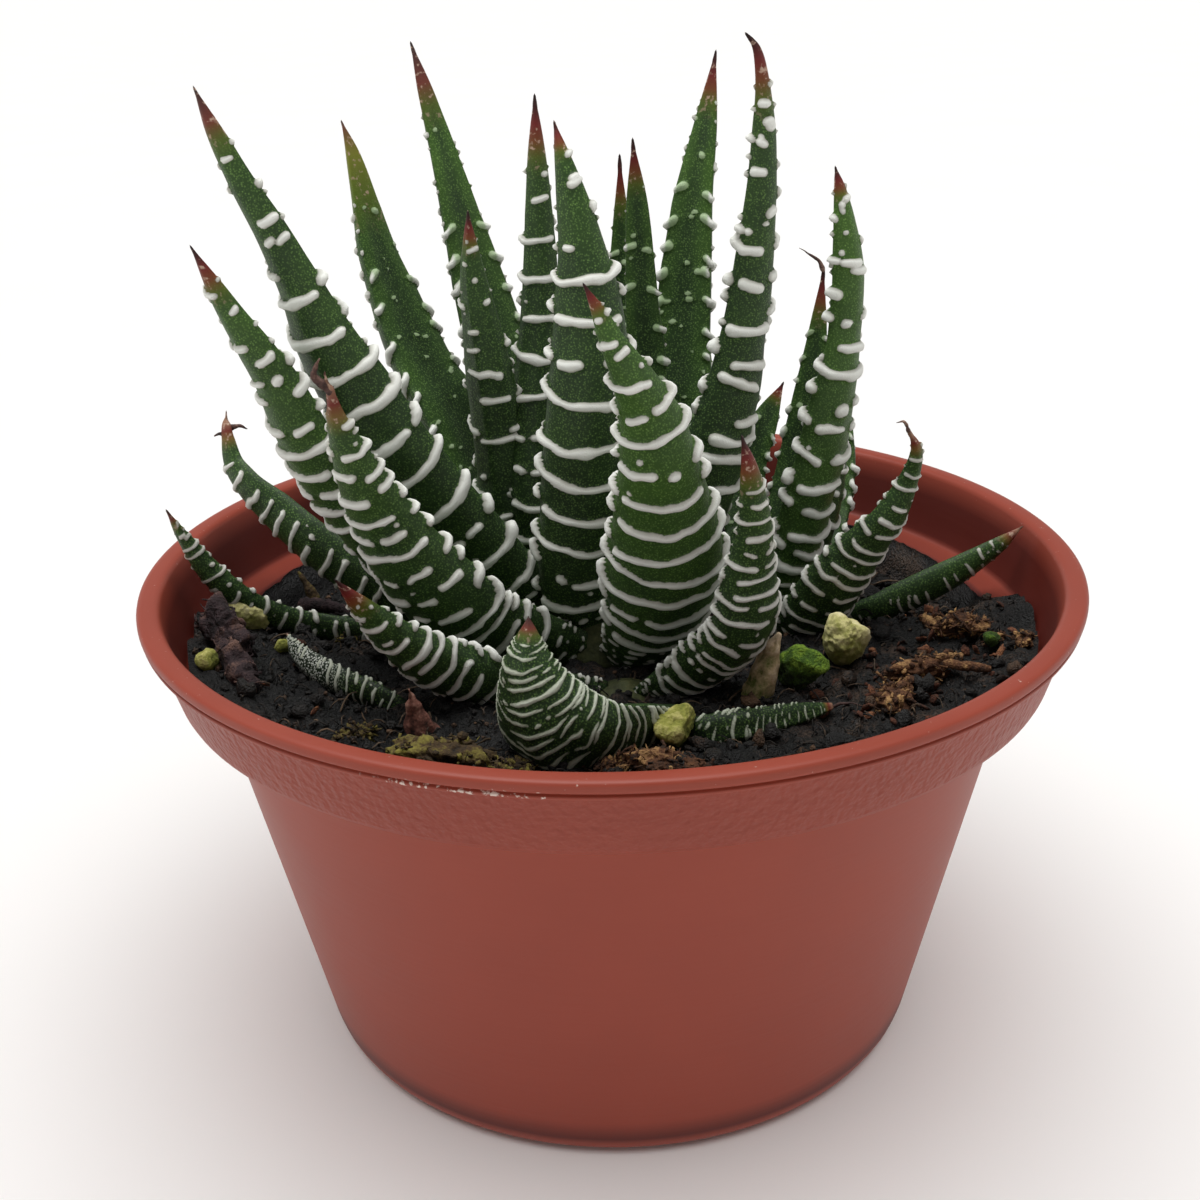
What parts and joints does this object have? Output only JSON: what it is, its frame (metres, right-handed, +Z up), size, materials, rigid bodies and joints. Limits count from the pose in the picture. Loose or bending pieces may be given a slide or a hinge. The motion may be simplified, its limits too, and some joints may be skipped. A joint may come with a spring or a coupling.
{
  "type": "potted haworthia",
  "caption": "Clump of pointed succulent leaves with raised white cross bands, planted in a round stepped-rim plastic nursery pot.",
  "frame": {"origin": "centre of the pot's foot, on the surface that the pot stands on", "axes": "+Z up along the pot's axis, -Y towards the side the plant is looked at from"},
  "size_m": [0.12, 0.12, 0.127],
  "materials": {
    "pot_plastic": "satin terracotta-coloured plastic",
    "peat": "crumbly moist peat",
    "stem_skin": "dull",
    "leaf_skin": "satin, with raised chalky white bands",
    "dry_leaf": "dry and papery",
    "perlite": "rough, tinted by algae",
    "moss": "velvety",
    "bark": "rough and fibrous"
  },
  "bodies": {
    "root": {"pot": "pot_plastic", "soil": "peat", "stem_main": "stem_skin", "stem_right": "stem_skin", "stem_left": "stem_skin", "stem_front": "stem_skin", "leaf_front_short": "leaf_skin", "leaf_front_lying": "leaf_skin", "leaf_front_low": "leaf_skin", "leaf_front_sickle": "leaf_skin", "leaf_front_broad": "leaf_skin", "leaf_front_left": "leaf_skin", "leaf_centre": "leaf_skin", "leaf_left_high": "leaf_skin", "leaf_left_low": "leaf_skin", "leaf_inner_narrow": "leaf_skin", "leaf_inner_left": "leaf_skin", "leaf_right_tall": "leaf_skin", "leaf_back_left": "leaf_skin", "leaf_back_left_tall": "leaf_skin", "leaf_back_right_tall": "leaf_skin", "leaf_young_right": "leaf_skin", "leaf_young_left": "leaf_skin", "leaf_far_right_low": "leaf_skin", "leaf_far_right_tall": "leaf_skin", "leaf_far_right_inner": "leaf_skin", "leaf_right_thin": "leaf_skin", "leaf_left_hooked": "leaf_skin", "leaf_left_thin": "leaf_skin", "leaf_sprout_left": "leaf_skin", "leaf_far_right_hidden": "leaf_skin", "leaf_far_right_back": "leaf_skin", "leaf_rear_left": "leaf_skin", "leaf_rear_middle": "leaf_skin", "leaf_rear_right": "leaf_skin", "leaf_rear_far_right": "leaf_skin", "leaf_rear_far_left": "leaf_skin", "dry_stub_right": "dry_leaf", "dry_stub_left": "dry_leaf", "perlite_left": "perlite", "perlite_far_left": "perlite", "bark_left": "bark", "perlite_front": "perlite", "moss_right": "moss", "perlite_right": "perlite", "bark_right": "bark", "bark_right_front": "bark", "bark_right_rear": "bark", "moss_bit_right": "moss", "moss_patch_front": "moss", "bark_front": "bark"}
  },
  "joints": []
}
